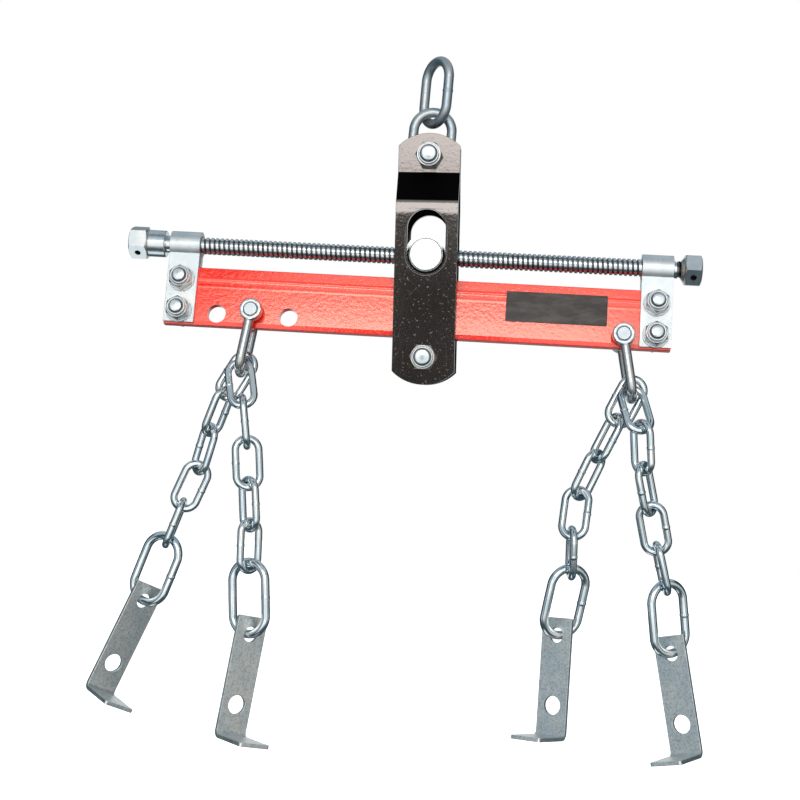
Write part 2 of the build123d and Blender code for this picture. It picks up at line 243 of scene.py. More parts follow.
class Finish:
    def __init__(self, name, owner=None):
        self.material = owner or bpy.data.materials.new(name)
        self.material.use_nodes = True
        self.tree = self.material.node_tree
        self.tree.nodes.clear()

    def node(self, kind, settings=None, inputs=None, output=0):
        made = self.tree.nodes.new(kind)
        for key, value in (settings or {}).items():
            setattr(made, key, value)
        for key, value in (inputs or {}).items():
            socket = made.inputs[key]
            if isinstance(value, Wire):
                self.tree.links.new(value.socket, socket)
            else:
                socket.default_value = value
        return Wire(self, made.outputs[output]) if made.outputs else None

    def place(self, matrix=None):
        # Object coordinates, or the same measured along a frame's own axes
        spot = self.node("ShaderNodeTexCoord", output="Object")
        if matrix is None:
            return spot
        back = matrix.inverted()
        settings = {"vector_type": "POINT"}
        values = {"Location": back.translation, "Rotation": back.to_euler(), "Vector": spot}
        return self.node("ShaderNodeMapping", settings, values)

    def axis(self, spot, letter):
        return self.node("ShaderNodeSeparateXYZ", None, {"Vector": spot}, letter)

    def noise(self, spot, scale, detail=3.0, roughness=0.55, stretch=None):
        if stretch is not None:
            values = {"Vector": spot, "Scale": stretch}
            spot = self.node("ShaderNodeMapping", {"vector_type": "POINT"}, values)
        values = {"Vector": spot, "Scale": scale, "Detail": detail, "Roughness": roughness}
        return self.node("ShaderNodeTexNoise", None, values)

    def between(self, value, low, high):
        settings = {"interpolation_type": "SMOOTHSTEP"}
        values = {"Value": value, "From Min": low, "From Max": high}
        return self.node("ShaderNodeMapRange", settings, values)

    def mix(self, share, first, second):
        values = {"Factor": share, 6: first, 7: second}
        return self.node("ShaderNodeMix", {"data_type": "RGBA"}, values, 2)

    def bump(self, height, strength, distance):
        values = {"Height": height, "Strength": strength, "Distance": distance}
        return self.node("ShaderNodeBump", None, values)

    def close(self, inputs):
        shader = self.node("ShaderNodeBsdfPrincipled", None, inputs)
        self.node("ShaderNodeOutputMaterial", None, {"Surface": shader})
        return self.material


def rgb(red, green, blue):
    return (red, green, blue, 1.0)


# Camera: the photograph's own perspective, in its 800 pixel frame
cameraView = {
    "pixels": 800,
    "focal": 1430.0,
    "vanishAcross": 505.0,       # where lines along Y meet
    "vanishDown": 390.0,
    "lean": 1.475,               # degrees
    "distance": 1.165,           # metres to the trunnion nut
    "nutAcross": 427.5,
    "nutDown": 257.3,
    "sensor": 36.0,              # millimetres
    "near": 0.01,
    "far": 50.0,
}


def makeCamera(v):
    half = v["pixels"] / 2
    depth = Vector((v["vanishAcross"] - half, half - v["vanishDown"], v["focal"])).normalized()
    lean = math.radians(v["lean"])
    up = Vector((math.sin(lean), math.cos(lean), 0))
    up.z = -(up.x * depth.x + up.y * depth.y) / depth.z
    up.normalize()
    across = up.cross(depth)
    toNut = Vector((v["nutAcross"] - half, half - v["nutDown"], v["focal"]))
    toNut *= v["distance"] / v["focal"]
    # columns are the hanger's X, Y and Z as the camera sees them: right, up, forward
    turn = Matrix((across, depth, up)).transposed()
    at = turn.transposed() @ -toNut
    right, upward, forward = (Vector(row) for row in turn)
    data = bpy.data.cameras.new("photoCamera")
    data.sensor_width = v["sensor"]
    data.lens = v["focal"] / v["pixels"] * v["sensor"]
    data.clip_start = v["near"]
    data.clip_end = v["far"]
    camera = bpy.data.objects.new("photoCamera", data)
    scene.collection.objects.link(camera)
    camera.matrix_world = hangerPlace @ axesMatrix(right, upward, -forward, at)
    scene.camera = camera


makeCamera(cameraView)
print("camera placed")


# Studio: a pale floor, a grey-blue room, one large soft box behind and above the camera
studio = {
    "floorDrop": 0.12,           # below the lowest bracket
    "floorSize": 14.0,
    "floorGlow": 1.0,
    "floorRough": 0.8,
    "floorGrain": 40.0,
    "floorDark": rgb(0.86, 0.86, 0.87),
    "floorPale": rgb(0.92, 0.92, 0.92),
    "boxLefts": (-0.560, -0.490, -0.390),    # the soft box brightens in steps from its ends
    "boxRights": (0.40, 0.34, 0.28),
    "boxHigh": 0.48,
    "boxAway": 1.70,             # from the trunnion nut, along the hanger
    "boxApart": 0.01,            # each step lies this much further away
    "boxRise": 0.540,
    "boxRoll": 2.0,              # degrees
    "boxGlow": 1.12,             # each step
    "fillSize": 1.6,
    "fillAt": (0.0, -1.50, 0.95),
    "fillPower": 17.0,           # fill, rear and bounce light matt surfaces only
    "rearAt": (0.0, 1.50, 0.95),
    "bounceSize": 1.2,
    "bounceAt": (0.0, -0.45, -1.30),
    "bouncePower": 9.0,
}


def floorFinish(v):
    shop = Finish("paleFloor")
    grain = shop.noise(shop.place(), v["floorGrain"])
    return shop.close({
        "Base Color": shop.mix(grain, v["floorDark"], v["floorPale"]),
        "Roughness": v["floorRough"],
        "Emission Color": rgb(1, 1, 1),
        "Emission Strength": v["floorGlow"],
    })


def makeFloor(v):
    level = cadBox[0][2] - v["floorDrop"]
    bpy.ops.object.select_all(action="DESELECT")
    bpy.ops.mesh.primitive_plane_add(size=v["floorSize"], location=(0, 0, level))
    floor = bpy.context.object
    floor.name = "paleFloor"
    settle(floor)
    dress(floor, floorFinish(v))
    floor.visible_glossy = False
    floor.visible_diffuse = False


def makeLamp(name, wide, high, power, place, aim):
    data = bpy.data.lights.new(name, "AREA")
    data.shape = "RECTANGLE"
    data.size = wide
    data.size_y = high
    data.energy = power
    lamp = bpy.data.objects.new(name, data)
    scene.collection.objects.link(lamp)
    at = hangerPlace @ Vector(place)
    way = hangerPlace @ Vector(aim) - at
    lamp.matrix_world = Matrix.Translation(at) @ way.to_track_quat("-Z", "Y").to_matrix().to_4x4()
    return lamp


def makeLamps(v):
    roll = Matrix.Rotation(math.radians(v["boxRoll"]), 4, "Z")
    for step, (left, right) in enumerate(zip(v["boxLefts"], v["boxRights"])):
        wide = right - left
        middle = (left + right) / 2
        power = v["boxGlow"] * math.pi * wide * v["boxHigh"]
        at = (middle, -v["boxAway"] - step * v["boxApart"], v["boxRise"])
        box = makeLamp("softBox", wide, v["boxHigh"], power, at, (middle, 0, v["boxRise"]))
        box.matrix_world = box.matrix_world @ roll
    mattLamps = (
        ("fillLight", v["fillSize"], v["fillPower"], v["fillAt"]),
        ("rearLight", v["fillSize"], v["fillPower"], v["rearAt"]),
        ("bounceLight", v["bounceSize"], v["bouncePower"], v["bounceAt"]),
    )
    for name, size, power, at in mattLamps:
        lamp = makeLamp(name, size, size, power, at, (0, 0, 0))
        lamp.visible_glossy = False


# What the metal mirrors, in degrees round (aim), up (rise) and down (fall) from the hanger's front.
# A third number is a zone's soft edge. A depth is the share of a direction that points to the back.
room = {
    "leftSide": rgb(0.44, 0.53, 0.58),
    "rightSide": rgb(0.64, 0.655, 0.64),
    "sidesMeet": (-30.0, 30.0),
    "back": rgb(0.045, 0.075, 0.090),
    "stripeAim": (41.0, 52.0, 3.0),          # a dark stripe beside the front, left and right
    "backDepth": (-0.30, -0.10),
    "behind": rgb(0.85, 0.90, 0.92),
    "behindDepth": (0.86, 0.94),
    "front": rgb(1.26, 1.31, 1.32),
    "frontAim": (-35.0, 37.0, 5.0),
    "above": rgb(0.42, 0.51, 0.57),
    "aboveRise": (31.0, 44.0),
    "low": rgb(0.06, 0.09, 0.105),
    "lowFall": (12.0, 46.0),
    "leftGround": rgb(1.15, 1.28, 1.34),
    "groundAim": (-140.0, -60.0, 10.0),
    "groundFall": (58.0, 64.0),
    "behindCamera": rgb(0.14, 0.135, 0.13),
    "cameraAim": (-7.2, 0.4, 0.8),
    "cameraRise": (-7.0, 8.15, 0.5),
    "leftDusk": rgb(0.02, 0.02, 0.02),
    "duskAim": (-26.0, -10.6, 2.0),
    "duskRise": (26.0, 33.0, 0.6),
    "overhead": rgb(0.005, 0.005, 0.005),
    "overheadAim": (-45.0, 25.0, 8.0),
    "overheadRise": (63.0, 83.0, 3.0),
}


def makeRoom(v):
    world = bpy.data.worlds.new("paleRoom")
    scene.world = world
    shop = Finish("paleRoom", world)
    way = shop.node("ShaderNodeTexCoord", output="Generated")
    values = {"Vector": way, "Rotation": hangerPlace.inverted().to_euler()}
    way = shop.node("ShaderNodeMapping", {"vector_type": "VECTOR"}, values)
    across, depth, height = (shop.axis(way, letter) for letter in "XYZ")
    aim = across.maths("ARCTAN2", across, -1 * depth) * math.degrees(1)
    rise = height.maths("ARCSINE", height, 0.0) * math.degrees(1)

    def within(value, low, high, edge):
        above = shop.between(value, low - edge, low + edge)
        return above * (1 - shop.between(value, high - edge, high + edge))

    tint = shop.mix(shop.between(aim, *v["sidesMeet"]), v["leftSide"], v["rightSide"])
    tint = shop.mix(within(aim.maths("ABSOLUTE", aim, 0.0), *v["stripeAim"]), tint, v["back"])
    tint = shop.mix(shop.between(depth, *v["backDepth"]), tint, v["back"])
    tint = shop.mix(shop.between(depth, *v["behindDepth"]), tint, v["behind"])
    tint = shop.mix(within(aim, *v["frontAim"]), tint, v["front"])
    tint = shop.mix(shop.between(rise, *v["aboveRise"]), tint, v["above"])
    tint = shop.mix(shop.between(-1 * rise, *v["lowFall"]), tint, v["low"])
    ground = within(aim, *v["groundAim"]) * shop.between(-1 * rise, *v["groundFall"])
    tint = shop.mix(ground, tint, v["leftGround"])
    for zone, name in (("camera", "behindCamera"), ("dusk", "leftDusk"), ("overhead", "overhead")):
        share = within(aim, *v[zone + "Aim"]) * within(rise, *v[zone + "Rise"])
        tint = shop.mix(share, tint, v[name])
    # the camera itself sees plain white
    seen = shop.node("ShaderNodeLightPath", output="Is Camera Ray")
    glow = shop.node("ShaderNodeBackground", None, {"Color": shop.mix(seen, tint, rgb(1, 1, 1))})
    shop.node("ShaderNodeOutputWorld", None, {"Surface": glow})


makeFloor(studio)
makeLamps(studio)
makeRoom(room)
scene.view_settings.view_transform = "Standard"
print("studio lit")


# Finishes
brightZinc = {
    "cool": rgb(0.60, 0.655, 0.69),
    "warm": rgb(0.78, 0.785, 0.78),
    "cloud": 55.0,               # cloud, grain, scuff, dent and speck: noise scales
    "cloudEdge": (0.35, 0.65),
    "cloudShare": 0.6,           # of the roughness, and the grain has the rest
    "smoothest": 0.16,
    "roughest": 0.34,
    "grain": 650.0,
    "grainDepth": 0.00006,
    "relief": 0.35,
    "scuff": 190.0,
    "scuffEdge": (0.58, 0.70),
    "scuffs": 0.25,              # how strong they are
    "scuffTint": rgb(0.36, 0.37, 0.38),
    "scuffRough": 0.10,
    "dent": 130.0,
    "dents": 0.0,
    "speck": 560.0,
    "speckEdge": (0.42, 0.66),
    "specks": 0.0,
    "speckTint": rgb(0.30, 0.28, 0.25),
}
satinZinc = dict(
    brightZinc,
    cool=rgb(0.61, 0.665, 0.69),
    warm=rgb(0.74, 0.755, 0.76),
    smoothest=0.40,
    roughest=0.54,
    grain=900.0,
)
chainZinc = dict(
    brightZinc,
    cool=rgb(0.66, 0.73, 0.77),
    warm=rgb(0.88, 0.88, 0.87),
    smoothest=0.045,
    roughest=0.14,
    grainDepth=0.00002,
    dents=9.0,
)
liftZinc = dict(
    brightZinc,
    cool=rgb(0.48, 0.54, 0.58),
    warm=rgb(0.60, 0.61, 0.61),
    smoothest=0.36,
    roughest=0.52,
    dents=6.0,
)
bracketZinc = dict(
    satinZinc,
    cool=rgb(0.79, 0.83, 0.84),
    warm=rgb(0.94, 0.93, 0.90),
    smoothest=0.34,
    roughest=0.50,
    specks=0.42,
)
strapZinc = dict(satinZinc, cool=rgb(0.74, 0.77, 0.78), warm=rgb(0.88, 0.88, 0.87))
headZinc = dict(
    brightZinc,
    cool=rgb(0.77, 0.80, 0.81),
    warm=rgb(0.93, 0.91, 0.88),
    smoothest=0.24,
    roughest=0.38,
)
forgedZinc = dict(
    brightZinc,
    cool=rgb(0.55, 0.58, 0.60),
    warm=rgb(0.66, 0.635, 0.60),
    smoothest=0.24,
    roughest=0.40,
    grainDepth=0.00004,
)
nutZinc = dict(
    brightZinc,
    cool=rgb(0.50, 0.52, 0.53),
    warm=rgb(0.64, 0.60, 0.55),
    smoothest=0.26,
    roughest=0.40,
)


def zincFinish(name, v):
    shop = Finish(name)
    spot = shop.place()
    cloud = shop.noise(spot, v["cloud"], detail=4.0)
    grain = shop.noise(spot, v["grain"], detail=2.0)
    scuff = shop.noise(spot, v["scuff"], detail=6.0, roughness=0.7)
    scuff = shop.between(scuff, *v["scuffEdge"])
    speck = shop.noise(spot, v["speck"], roughness=0.7)
    speck = shop.between(speck, *v["speckEdge"])
    dent = shop.noise(spot, v["dent"], detail=2.0)
    tint = shop.mix(shop.between(cloud, *v["cloudEdge"]), v["cool"], v["warm"])
    tint = shop.mix(scuff * v["scuffs"], tint, v["scuffTint"])
    tint = shop.mix(speck * v["specks"], tint, v["speckTint"])
    spread = v["roughest"] - v["smoothest"]
    clouding = spread * v["cloudShare"]
    rough = v["smoothest"] + cloud * clouding + grain * (spread - clouding)
    rough = rough + scuff * v["scuffRough"]
    bump = shop.bump(grain + cloud * 2.0 + dent * v["dents"], v["relief"], v["grainDepth"])
    return shop.close({"Base Color": tint, "Metallic": 1.0, "Roughness": rough, "Normal": bump})


redPaint = {
    "deep": rgb(0.87, 0.012, 0.007),
    "full": rgb(0.97, 0.020, 0.009),
    "drift": 14.0,               # drift, peel, swell and dust: noise scales
    "driftStretch": (1.0, 1.0, 2.5),
    "driftEdge": (0.3, 0.7),
    "sheen": rgb(1.0, 0.93, 0.75),
    "ior": 2.0,
    "peel": 400.0,
    "peelDepth": 0.00010,
    "relief": 0.5,
    "swell": 90.0,
    "swellStretch": (0.5, 1.0, 1.0),
    "swells": 0.6,               # beside the peel
    "dust": 900.0,
    "dustEdge": (0.66, 0.74),
    "dusts": 0.35,
    "dustTint": rgb(0.40, 0.006, 0.005),
    "dustRough": 0.2,
    "smoothest": 0.06,
    "roughest": 0.11,
}


def redPaintFinish(v):
    shop = Finish("redPaint")
    spot = shop.place(beamPlace)
    drift = shop.noise(spot, v["drift"], roughness=0.5, stretch=v["driftStretch"])
    peel = shop.noise(spot, v["peel"], detail=2.0, roughness=0.5)
    swell = shop.noise(spot, v["swell"], detail=2.0, roughness=0.5, stretch=v["swellStretch"])
    dust = shop.between(shop.noise(spot, v["dust"], detail=2.0), *v["dustEdge"])
    tint = shop.mix(shop.between(drift, *v["driftEdge"]), v["deep"], v["full"])
    tint = shop.mix(dust * v["dusts"], tint, v["dustTint"])
    rough = v["smoothest"] + drift * (v["roughest"] - v["smoothest"]) + dust * v["dustRough"]
    return shop.close({
        "Base Color": tint,
        "Roughness": rough,
        "Normal": shop.bump(peel + swell * v["swells"], v["relief"], v["peelDepth"]),
        "IOR": v["ior"],
        "Specular Tint": v["sheen"],
    })


blackPaint = {
    "deep": rgb(0.0015, 0.0012, 0.001),
    "pale": rgb(0.0030, 0.0025, 0.0022),
    "drift": 24.0,               # drift, peel and fleck: noise scales
    "driftEdge": (0.3, 0.7),
    "sheen": rgb(1.0, 0.89, 0.84),
    "ior": 2.2,
    "peel": 420.0,
    "peelDepth": 0.00008,
    "relief": 0.6,
    "fleck": 520.0,
    "fleckEdge": (0.65, 0.72),
    "flecks": 0.22,
    "fleckDepth": 3.0,           # beside the peel
    # painted highlight: the lighter tint of the flecks
    "fleckGlintTint": rgb(0.10, 0.09, 0.085),
    "smoothest": 0.07,
    "roughest": 0.13,
    "slotRadius": 0.0154,
    "slotRise": 0.0211,
    "rimFrom": 0.0010,          # outside the slot's edge
    "rimWide": 0.0008,
    "rimRagged": 0.0010,
    "rimSoft": 0.0002,
    "rimTop": (0.7, 1.2),       # in slot rises
    "rimTint": rgb(0.20, 0.185, 0.175),
    "rimShare": 0.9,
}
# painted shade: a darker, less glossy copy of the black paint, for faces that lie in shade
shadeBlack = dict(
    blackPaint,
    deep=rgb(0.0004, 0.0003, 0.0003),
    pale=rgb(0.0008, 0.0007, 0.0006),
    ior=1.12,
    flecks=0.0,
    smoothest=0.4,
    roughest=0.5,
)


def blackPaintFinish(name, v):
    shop = Finish(name)
    spot = shop.place(hangerPlace)
    drift = shop.noise(spot, v["drift"])
    peel = shop.noise(spot, v["peel"], roughness=0.6)
    pitsAndGlints = shop.between(shop.noise(spot, v["fleck"], roughness=0.6), *v["fleckEdge"])
    tint = shop.mix(shop.between(drift, *v["driftEdge"]), v["deep"], v["pale"])
    # partly painted highlight: the paint's pits are tinted lighter for their glints; their bumps
    # give real glints too
    tint = shop.mix(pitsAndGlints * v["flecks"], tint, v["fleckGlintTint"])
    # a paler rim just outside the slot's edge, ragged, fading out towards the slot's top
    height = shop.axis(spot, "Z")
    aside = shop.axis(spot, "X")
    straight = {"Value": height, "Min": 0.0, "Max": v["slotRise"]}
    beyond = height - shop.node("ShaderNodeClamp", None, straight)
    gap = (aside * aside + beyond * beyond) ** 0.5 - v["slotRadius"]
    uneven = gap + (peel - 0.5) * v["rimRagged"] - v["rimFrom"]
    paleRim = shop.between(uneven, 0.0, v["rimSoft"])
    paleRim = paleRim * (1 - shop.between(uneven, v["rimWide"] * 0.5, v["rimWide"]))
    fade = [v["slotRise"] * share for share in v["rimTop"]]
    paleRim = paleRim * (1 - shop.between(height, *fade))
    tint = shop.mix(paleRim * v["rimShare"], tint, v["rimTint"])
    coat = peel + pitsAndGlints * v["flecks"] * v["fleckDepth"]
    return shop.close({
        "Base Color": tint,
        "Roughness": v["smoothest"] + drift * (v["roughest"] - v["smoothest"]),
        "Normal": shop.bump(coat, v["relief"], v["peelDepth"]),
        "IOR": v["ior"],
        "Specular Tint": v["sheen"],
    })


labelFilm = {
    "dark": rgb(0.010, 0.008, 0.007),
    "pale": rgb(0.055, 0.045, 0.041),
    "sheen": rgb(1.0, 0.92, 0.88),
    "ior": 1.46,
    "cloud": 150.0,
    "cloudStretch": (0.3, 1.0, 1.0),
    "cloudEdge": (0.38, 0.70),
    "grain": 1100.0,
    "grainDepth": 0.00004,
    "relief": 0.3,
    "smoothest": 0.20,
    "grainRough": 0.14,
    "cloudRough": 0.10,
}


def filmFinish(v):
    shop = Finish("labelFilm")
    spot = shop.place(beamPlace)
    cloud = shop.noise(spot, v["cloud"], detail=6.0, roughness=0.7, stretch=v["cloudStretch"])
    grain = shop.noise(spot, v["grain"], detail=2.0)
    return shop.close({
        "Base Color": shop.mix(shop.between(cloud, *v["cloudEdge"]), v["dark"], v["pale"]),
        "Roughness": v["smoothest"] + grain * v["grainRough"] + cloud * v["cloudRough"],
        "Normal": shop.bump(grain + cloud * 2.0, v["relief"], v["grainDepth"]),
        "IOR": v["ior"],
        "Specular Tint": v["sheen"],
    })


bushBronze = {
    "dark": rgb(0.46, 0.30, 0.13),
    "pale": rgb(0.63, 0.45, 0.22),
    "pit": rgb(0.10, 0.06, 0.03),
    "cloud": 120.0,
    "pore": 1400.0,
    "poreEdge": (0.60, 0.72),
    "poreDepth": 0.0001,
    "pores": 0.6,
    "relief": 0.4,
    "smoothest": 0.30,
    "cloudRough": 0.2,
}


def bronzeFinish(v):
    shop = Finish("bushBronze")
    spot = shop.place(screwPlace)
    cloud = shop.noise(spot, v["cloud"], detail=4.0)
    pores = shop.between(shop.noise(spot, v["pore"], detail=2.0), *v["poreEdge"])
    tint = shop.mix(cloud, v["dark"], v["pale"])
    return shop.close({
        "Base Color": shop.mix(pores * v["pores"], tint, v["pit"]),
        "Metallic": 1.0,
        "Roughness": v["smoothest"] + cloud * v["cloudRough"],
        "Normal": shop.bump(1 - pores, v["relief"], v["poreDepth"]),
    })


trunnionSteel = {
    "dark": rgb(0.88, 0.89, 0.90),
    "pale": rgb(0.95, 0.95, 0.94),
    "cloud": 160.0,
    "grain": 900.0,
    "grainDepth": 0.00005,
    "relief": 0.3,
    "smoothest": 0.40,
    "cloudRough": 0.12,
    "ior": 1.08,
    # painted shade: the near-black colour of the stub round the boss
    "stubShade": rgb(0.006, 0.005, 0.005),
    "bossRadius": 0.0134,
    "bossRagged": 0.0004,
    "bossSoft": 0.0001,
    "stubStart": 0.0203,         # from the middle of the trunnion, towards either end
    "stubSoft": 0.000002,        # square metres
    "stubShadeTop": (0.003, 0.009),
    "stubShadeRagged": 0.004,
}


def trunnionFinish(v):
    # a bright boss in the middle of each end; round it the stub's lower part is painted black,
    # painted shade for the shadow in the slot
    shop = Finish("trunnionSteel")
    spot = shop.place(hangerPlace)
    aside, depth, height = (shop.axis(spot, letter) for letter in "XYZ")
    radius = (aside * aside + height * height) ** 0.5
    cloud = shop.noise(spot, v["cloud"], detail=4.0)
    grain = shop.noise(spot, v["grain"], detail=2.0)
    edge = v["bossRadius"] + (cloud - 0.5) * v["bossRagged"]
    outer = shop.between(radius - edge, -v["bossSoft"], v["bossSoft"])
    start = v["stubStart"] ** 2
    stub = shop.between(depth * depth, start - v["stubSoft"], start + v["stubSoft"])
    # painted shade: the stub is black below, fading out above the middle, and not metal there
    ragged = height + (cloud - 0.5) * v["stubShadeRagged"]
    stubShade = outer * stub * (1 - shop.between(ragged, *v["stubShadeTop"]))
    steel = shop.mix(cloud, v["dark"], v["pale"])
    return shop.close({
        "Base Color": shop.mix(stubShade, steel, v["stubShade"]),
        "Metallic": 1 - stubShade,
        "Roughness": v["smoothest"] + cloud * v["cloudRough"],
        "Normal": shop.bump(grain + cloud, v["relief"], v["grainDepth"]),
        "IOR": v["ior"],
    })


# painted shade: the nylon ring is real, and its dark colour stands for the shadow round the bolt's
# end
shadedNylon = {
    "dark": rgb(0.05, 0.06, 0.075),
    "pale": rgb(0.10, 0.115, 0.13),
    "cloud": 500.0,
    "depth": 0.0001,
    "relief": 0.3,
    "smoothest": 0.42,
    "cloudRough": 0.15,
}


def shadedNylonFinish(v):
    shop = Finish("shadedNylon")
    cloud = shop.noise(shop.place(), v["cloud"])
    return shop.close({
        "Base Color": shop.mix(cloud, v["dark"], v["pale"]),
        "Roughness": v["smoothest"] + cloud * v["cloudRough"],
        "Normal": shop.bump(cloud, v["relief"], v["depth"]),
    })


threadSteel = {
    # painted shade: the dark colour of the thread's roots
    "root": rgb(0.15, 0.155, 0.16),
    "crest": rgb(0.74, 0.745, 0.74),
    "oiled": rgb(0.48, 0.53, 0.56),
    "cloud": 90.0,
    "cloudStretch": (0.3, 1.0, 1.0),
    "oilEdge": (0.45, 0.7),
    "oils": 0.5,
    "grain": 1100.0,
    "grainDepth": 0.00004,
    "relief": 0.25,
    "roughest": 0.34,
    "crestSmooth": 0.18,
    "cloudRough": 0.08,
    # painted shade inside the heads' cross holes
    "holeShade": rgb(0.012, 0.009, 0.007),
    "holeShadeFrom": (0.0044, 0.0048),            # radii
    "holeShadeTo": (0.0052, 0.0056),
}


def threadFinish(v, rootRadius, crestRadius):
    # bright crests and roots painted dark, painted shade in the grooves, with clouds of oily tint
    # over both
    shop = Finish("threadSteel")
    spot = shop.place(screwPlace)
    aside = shop.axis(spot, "Y")
    height = shop.axis(spot, "Z")
    radius = (aside * aside + height * height) ** 0.5
    crest = shop.between(radius, rootRadius, crestRadius)
    cloud = shop.noise(spot, v["cloud"], detail=4.0, roughness=0.6, stretch=v["cloudStretch"])
    grain = shop.noise(spot, v["grain"], detail=2.0)
    # painted shade: darker towards the roots
    tint = shop.mix(crest, v["root"], v["crest"])
    tint = shop.mix(shop.between(cloud, *v["oilEdge"]) * v["oils"], tint, v["oiled"])
    # painted shade: the core is painted dark where the heads' cross holes meet it
    holeShade = shop.between(radius, *v["holeShadeFrom"]) * (1 - shop.between(radius, *v["holeShadeTo"]))
    return shop.close({
        "Base Color": shop.mix(holeShade, tint, v["holeShade"]),
        "Metallic": 1.0,
        "Roughness": v["roughest"] - crest * v["crestSmooth"] + cloud * v["cloudRough"],
        "Normal": shop.bump(grain, v["relief"], v["grainDepth"]),
    })


finishes = {
    "bright": zincFinish("brightZinc", brightZinc),
    "satin": zincFinish("satinZinc", satinZinc),
    "red": redPaintFinish(redPaint),
    "black": blackPaintFinish("blackPaint", blackPaint),
    "shadedBlack": blackPaintFinish("shadeBlackPaint", shadeBlack),
    "film": filmFinish(labelFilm),
    "bronze": bronzeFinish(bushBronze),
    "nylonShade": shadedNylonFinish(shadedNylon),
    "nut": zincFinish("nutZinc", nutZinc),
    "chain": zincFinish("chainZinc", chainZinc),
    "lift": zincFinish("liftZinc", liftZinc),
    "forged": zincFinish("forgedZinc", forgedZinc),
    "head": zincFinish("headZinc", headZinc),
    "strap": zincFinish("strapZinc", strapZinc),
    "bracket": zincFinish("bracketZinc", bracketZinc),
    "trunnion": trunnionFinish(trunnionSteel),
}
print("finishes made:", len(finishes))


# Links: a ring drawn out into an oval, with a weld across the middle of one leg
oval = {
    "segments": 64,
    "wireSegments": 28,
    "weldHalf": 0.0012,
    "weldProud": 0.00028,
    "weldRough": 0.00010,
    "weldCuts": (-1.7, -1, -0.5, 0.5, 1, 1.7),       # in half widths of the weld
    "weldCrown": 0.6,
}


def linkPlace(node):
    # the oval's own axes: X across it, Z along it, Y through it
    points = [v.co for v in frame["nodes"][node].data.vertices]
    middle = sum(points, Vector()) / len(points)
    below = [joint for joint in joints.values() if joint["parent"] == node][0]
    if node == "hanger_link":
        through = Vector(below["axis"])
        along = Vector(joints[node]["pos_m"]) - Vector(below["pos_m"])
        across = through.cross(along).normalized()
    else:
        across = Vector(below["axis"]).normalized()
        along = middle - Vector(below["pos_m"])
    along = (along - across * along.dot(across)).normalized()
    if along.z < 0:
        along = -along
    through = along.cross(across)
    place = axesMatrix(across, through, along, middle)
    low, high = spanIn(node, place)
    return place @ Matrix.Translation((low + high) / 2), high - low


def modelLink(size, v, seed):
    wire = size.y / 2
    bend = size.x / 2 - wire
    reach = size.z / 2 - wire - bend
    bpy.ops.object.select_all(action="DESELECT")
    bpy.ops.mesh.primitive_torus_add(
        major_radius=bend,
        minor_radius=wire,
        major_segments=v["segments"],
        minor_segments=v["wireSegments"],
        rotation=(math.pi / 2, 0, 0),
    )
    ring = bpy.context.object
    settle(ring)
    for side in (1, -1):
        pick(ring, "vertices", lambda vertex: vertex.co.z * side > hair)
        bpy.ops.transform.translate(value=(0, 0, side * reach))
        doneEditing()
    # the weld: loops round the middle of the legs, and those of the right leg swollen and uneven
    for share in v["weldCuts"]:
        cutAcross(ring, (0, 0, v["weldHalf"] * share), (0, 0, 1))
    crown = v["weldHalf"] * v["weldCrown"]
    pick(ring, "vertices", lambda vertex: abs(vertex.co.z) < crown and vertex.co.x > 0)
    swell = 1 + v["weldProud"] / wire
    bpy.ops.transform.resize(value=(swell, swell, 1), center_override=(bend, 0, 0))
    bpy.ops.transform.vertex_random(offset=v["weldRough"], seed=seed)
    doneEditing()
    return ring


def makeLinks(v):
    lifting = ["lifting_link", "hanger_link"]
    chains = [node for node in frame["nodes"] if node.endswith("_end_link") or "_link_" in node]
    nodes = lifting + chains
    for count, node in enumerate(nodes):
        place, size = linkPlace(node)
        link = modelLink(size, v, count)
        link.name = "oval_" + node
        side = Matrix.Rotation(math.pi * (count % 2), 4, "Z")      # welds on alternate sides
        putAt(link, place @ side)
        smooth(link, roundBar)
        finish = "lift" if node in lifting else "chain"
        standFor(link, node, finishes[finish])
    print("links modelled:", len(nodes))


makeLinks(oval)


# Sheet, bar and turned parts: the CAD form with its edges broken. Width of the break, finish, slot
brokenEdges = {
    "front_plate": (0.0011, "black", "black_paint"),
    "rear_plate": (0.0011, "black", "black_paint"),
    "beam": (0.0004, "red", "red_paint"),
    "label_plate": (0.0001, "film", "label_film"),
    "left_strap": (0.0004, "strap", "zinc_steel"),
    "right_strap": (0.0004, "strap", "zinc_steel"),
    "strap_washers": (0.0002, "satin", "zinc_steel"),
    "left_hex_head": (0.0004, "head", "screw_steel"),
    "right_hex_head": (0.0004, "head", "screw_steel"),
    "left_collar": (0.0002, "bright", "screw_steel"),
    "left_shackle_pin": (0.0003, "satin", "zinc_steel"),
    "right_shackle_pin": (0.0003, "satin", "zinc_steel"),
    "trunnion_nut": (0.0001, "trunnion", "zinc_steel"),
    "left_front_bracket": (0.0005, "bracket", "zinc_steel"),
    "left_rear_bracket": (0.0005, "bracket", "zinc_steel"),
    "right_front_bracket": (0.0005, "bracket", "zinc_steel"),
    "right_rear_bracket": (0.0005, "bracket", "zinc_steel"),
}
edgeBreak = {"from": 32, "smoothTo": 38}      # degrees


def breakEdges(piece, width, segments=3):
    bevel = piece.modifiers.new("brokenEdge", "BEVEL")
    bevel.width = width
    bevel.segments = segments
    bevel.limit_method = "ANGLE"
    bevel.angle_limit = math.radians(edgeBreak["from"])
    bevel.use_clamp_overlap = True
    settle(piece)
    smooth(piece, edgeBreak["smoothTo"])
    level = piece.modifiers.new("flatFaces", "WEIGHTED_NORMAL")
    level.keep_sharp = True
    settle(piece)


